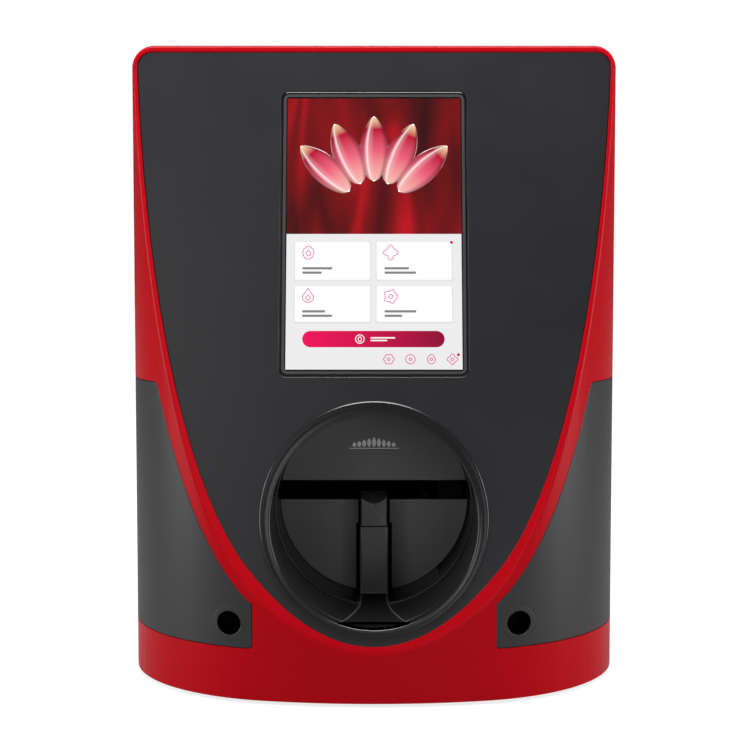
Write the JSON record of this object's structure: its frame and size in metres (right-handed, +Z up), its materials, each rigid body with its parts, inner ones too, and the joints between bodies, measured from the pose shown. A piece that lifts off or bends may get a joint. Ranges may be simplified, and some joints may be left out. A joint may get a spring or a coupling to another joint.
{
  "type": "digital nail art printer",
  "caption": "Desktop nail printer with a leaning touch screen, a round finger port with a grip bar, and an inkjet carriage on X-Y rods behind the port's slot.",
  "frame": {"origin": "on the floor under the middle of the housing's box", "axes": "+X to the viewer's right, -Y out of the screen face towards the user, +Z up"},
  "size_m": [0.27, 0.24, 0.348],
  "materials": {
    "shell_red": "satin gloss red paint",
    "charcoal": "fine matt",
    "black_gloss": "gloss",
    "black_plastic": "satin",
    "glass": "lit display under polished cover glass",
    "rubber": "matt",
    "steel": "brushed",
    "sheet": "zinc plated",
    "bronze": "turned",
    "motor": "satin black",
    "board": "solder mask",
    "blue_plastic": "satin"
  },
  "bodies": {
    "housing": {"main_shell": "shell_red", "rear_shell": "charcoal", "base_plate": "black_plastic", "feet": "rubber", "left_side_cover": "charcoal", "right_side_cover": "charcoal", "left_socket": "black_plastic", "right_socket": "black_plastic", "front_panel": "charcoal", "touch_glass": "glass", "display_module": "sheet", "screen_frame": "black_plastic", "port_ring": "black_gloss", "port_liner": "black_plastic", "port_upper_plate": "charcoal", "port_lower_plate": "charcoal", "finger_handle": "charcoal", "finger_rest_spring": "steel", "mech_tray": "black_plastic", "mech_frame": "sheet", "y_guide_rods": "steel", "y_motor": "motor", "capping_station": "black_plastic", "nozzle_wiper": "rubber", "light_board": "board", "main_board": "board", "driver_board": "board", "fan_housing": "black_plastic", "speakers": "black_plastic", "power_inlet": "black_plastic", "usb_port": "steel", "power_switch": "black_plastic", "door_hinge_pins": "steel", "shell_screws": "steel"},
    "y_gantry": {"gantry_left_block": "black_plastic", "gantry_right_block": "black_plastic", "x_guide_rods": "steel", "lead_nut": "bronze", "x_motor": "motor", "idler_pin": "steel", "x_belt": "rubber"},
    "print_carriage": {"print_carriage": "black_plastic", "rod_bushings": "bronze", "ink_cartridge": "black_plastic", "camera_module": "black_plastic", "latch_pin": "steel"},
    "cartridge_latch": {"cartridge_latch": "blue_plastic"},
    "x_motor_pulley": {"x_motor_pulley": "steel"},
    "x_idler_pulley": {"x_idler_pulley": "steel"},
    "y_lead_screw": {"y_lead_screw": "steel"},
    "finger_rest": {"finger_rest": "charcoal"},
    "rear_door": {"rear_door": "charcoal"},
    "power_button": {"power_button": "charcoal"},
    "fan_rotor": {"fan_rotor": "black_plastic"}
  },
  "joints": [
    {"name": "gantry_slide", "type": "slide", "parent": "housing", "child": "y_gantry", "axis": [0, 1, 0], "range_m": [-0.036, 0]},
    {"name": "carriage_slide", "type": "slide", "parent": "y_gantry", "child": "print_carriage", "axis": [1, 0, 0], "range_m": [-0.086, 0]},
    {"name": "latch_hinge", "type": "hinge", "parent": "print_carriage", "child": "cartridge_latch", "pos_m": [0.0505, 0.031, 0.168], "axis": [1, 0, 0], "range_deg": [0, 60]},
    {"name": "motor_pulley_spin", "type": "hinge", "parent": "y_gantry", "child": "x_motor_pulley", "pos_m": [-0.0755, 0.076, 0.174], "axis": [0, 0, 1], "range_deg": [-870, 10]},
    {"name": "idler_pulley_spin", "type": "hinge", "parent": "y_gantry", "child": "x_idler_pulley", "pos_m": [0.0755, 0.076, 0.174], "axis": [0, 0, 1], "range_deg": [-870, 10]},
    {"name": "lead_screw_spin", "type": "hinge", "parent": "housing", "child": "y_lead_screw", "pos_m": [-0.0785, 0.04, 0.136], "axis": [0, 1, 0], "range_deg": [-1800, 10]},
    {"name": "finger_rest_press", "type": "slide", "parent": "housing", "child": "finger_rest", "axis": [0, 0, 1], "range_m": [-0.001, 0], "stiffness_N_per_m": 400, "springref_m": 0.001, "deforming": ["finger_rest_spring"]},
    {"name": "door_hinge", "type": "hinge", "parent": "housing", "child": "rear_door", "pos_m": [-0.049, 0.1168, 0.146], "axis": [0, 0, 1], "range_deg": [0, 100]},
    {"name": "power_button_press", "type": "slide", "parent": "housing", "child": "power_button", "axis": [0, 1, 0], "range_m": [-0.002, 0], "stiffness_N_per_m": 500, "springref_m": 0.001},
    {"name": "fan_spin", "type": "hinge", "parent": "housing", "child": "fan_rotor", "pos_m": [-0.05, 0.112, 0.27], "axis": [0, 1, 0], "continuous": true}
  ],
  "couplings": [
    {"joint": "motor_pulley_spin", "follows": "carriage_slide", "rad_per_m": 166.67},
    {"joint": "idler_pulley_spin", "follows": "carriage_slide", "rad_per_m": 166.67},
    {"joint": "lead_screw_spin", "follows": "gantry_slide", "rad_per_m": 785.4}
  ]
}
